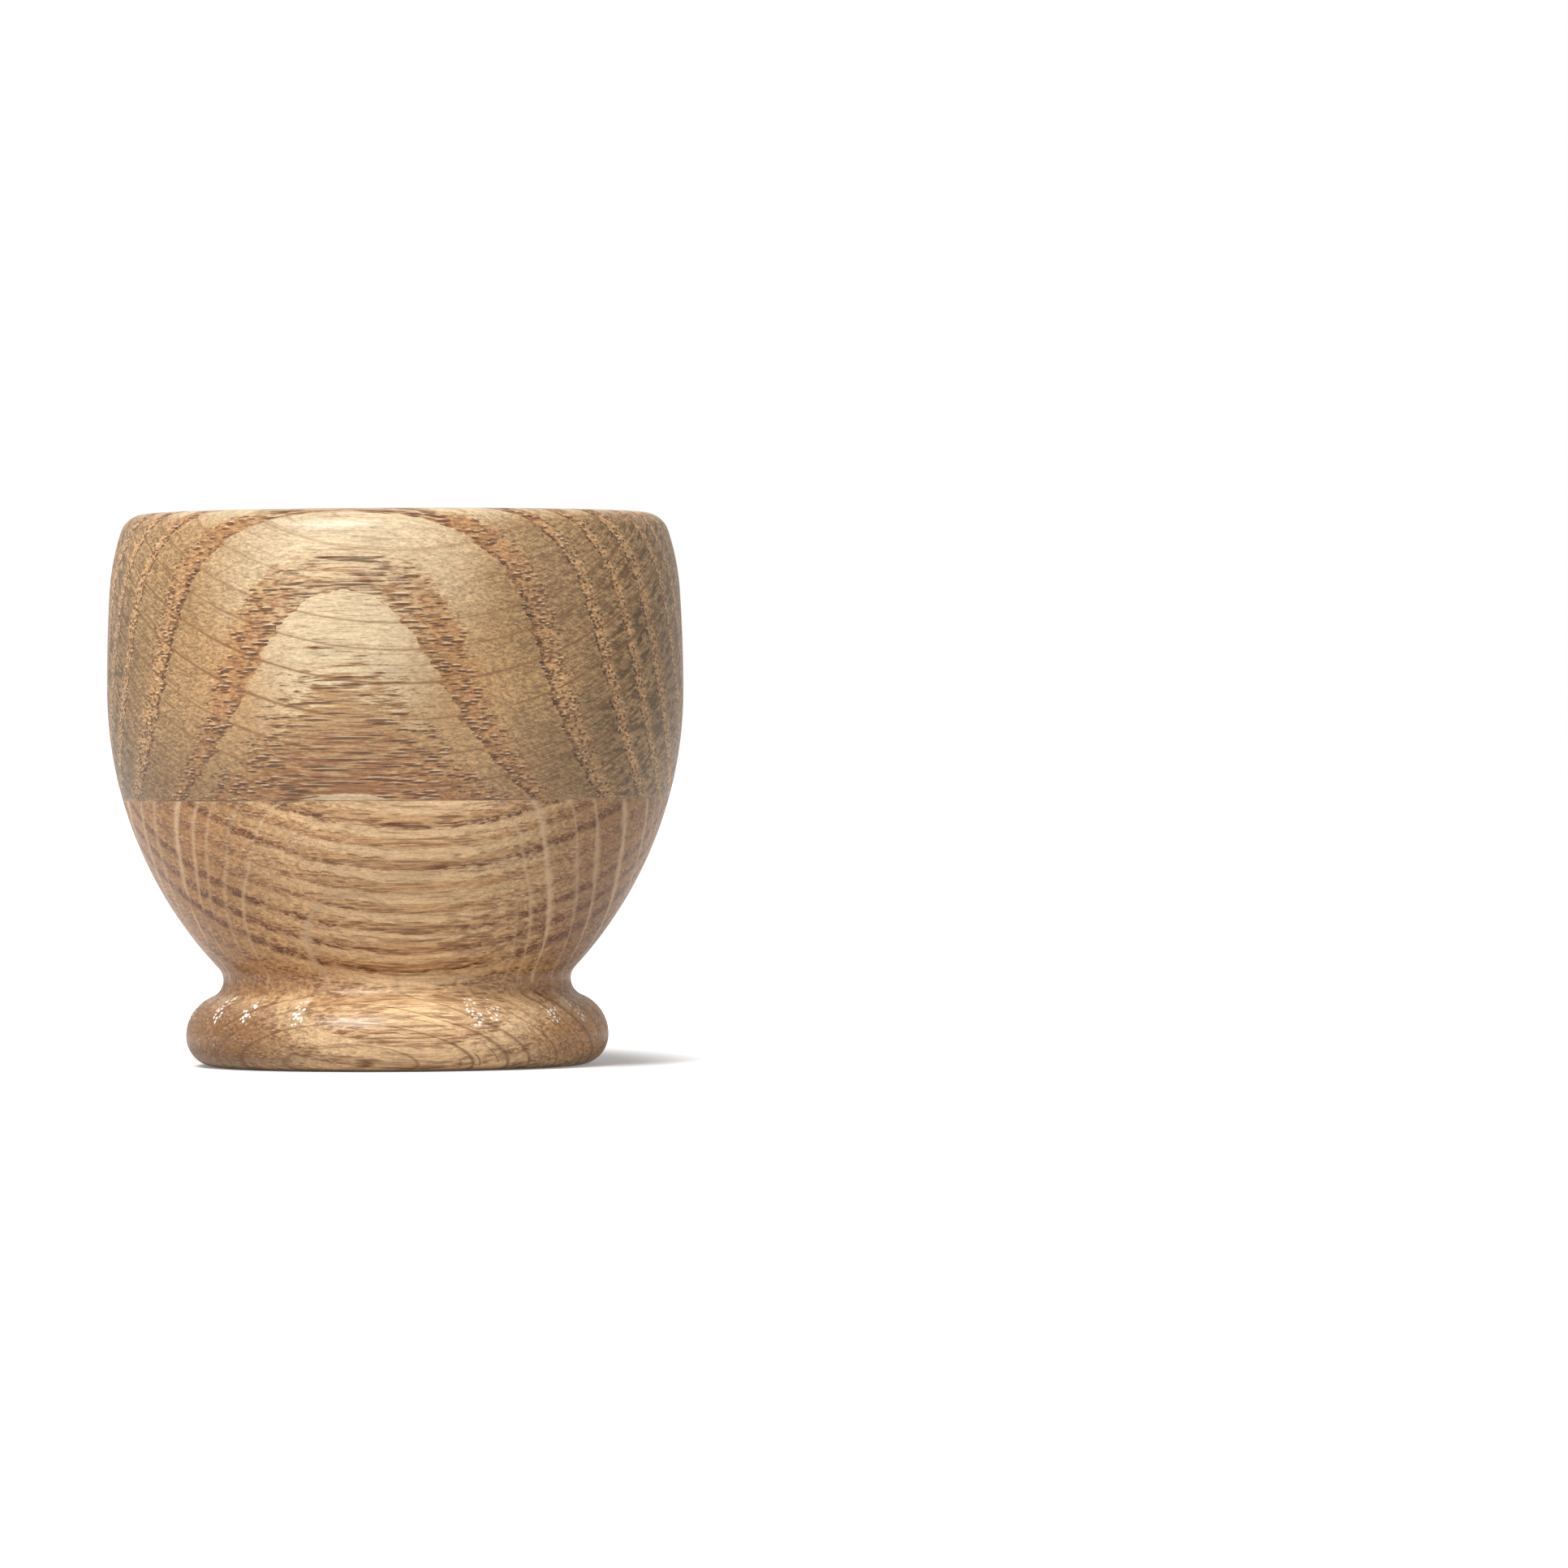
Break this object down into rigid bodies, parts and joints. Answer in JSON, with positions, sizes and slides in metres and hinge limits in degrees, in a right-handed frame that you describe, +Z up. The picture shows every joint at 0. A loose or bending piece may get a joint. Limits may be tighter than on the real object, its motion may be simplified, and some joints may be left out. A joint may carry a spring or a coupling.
{
  "type": "egg cup",
  "caption": "Turned oak egg cup with a barrel-shaped bowl, a rounded lip, a narrow neck and a round bead foot, made from oak blocks glued face to face.",
  "frame": {"origin": "centre of the flat base, on the table", "axes": "+Z up along the turning axis and out of the mouth, -Y towards the front that the picture shows, +X to the right"},
  "size_m": [0.0522, 0.0522, 0.05],
  "materials": {
    "oak_upper": "satin lacquered oak, reddish brown porous bands between tan ones",
    "oak_lower": "satin lacquered oak, golden tan with fine darker bands",
    "wood_glue": "set wood glue, dark brown, turned flush"
  },
  "bodies": {
    "root": {"upper_block": "oak_upper", "glue_line": "wood_glue", "lower_block": "oak_lower"}
  },
  "joints": []
}
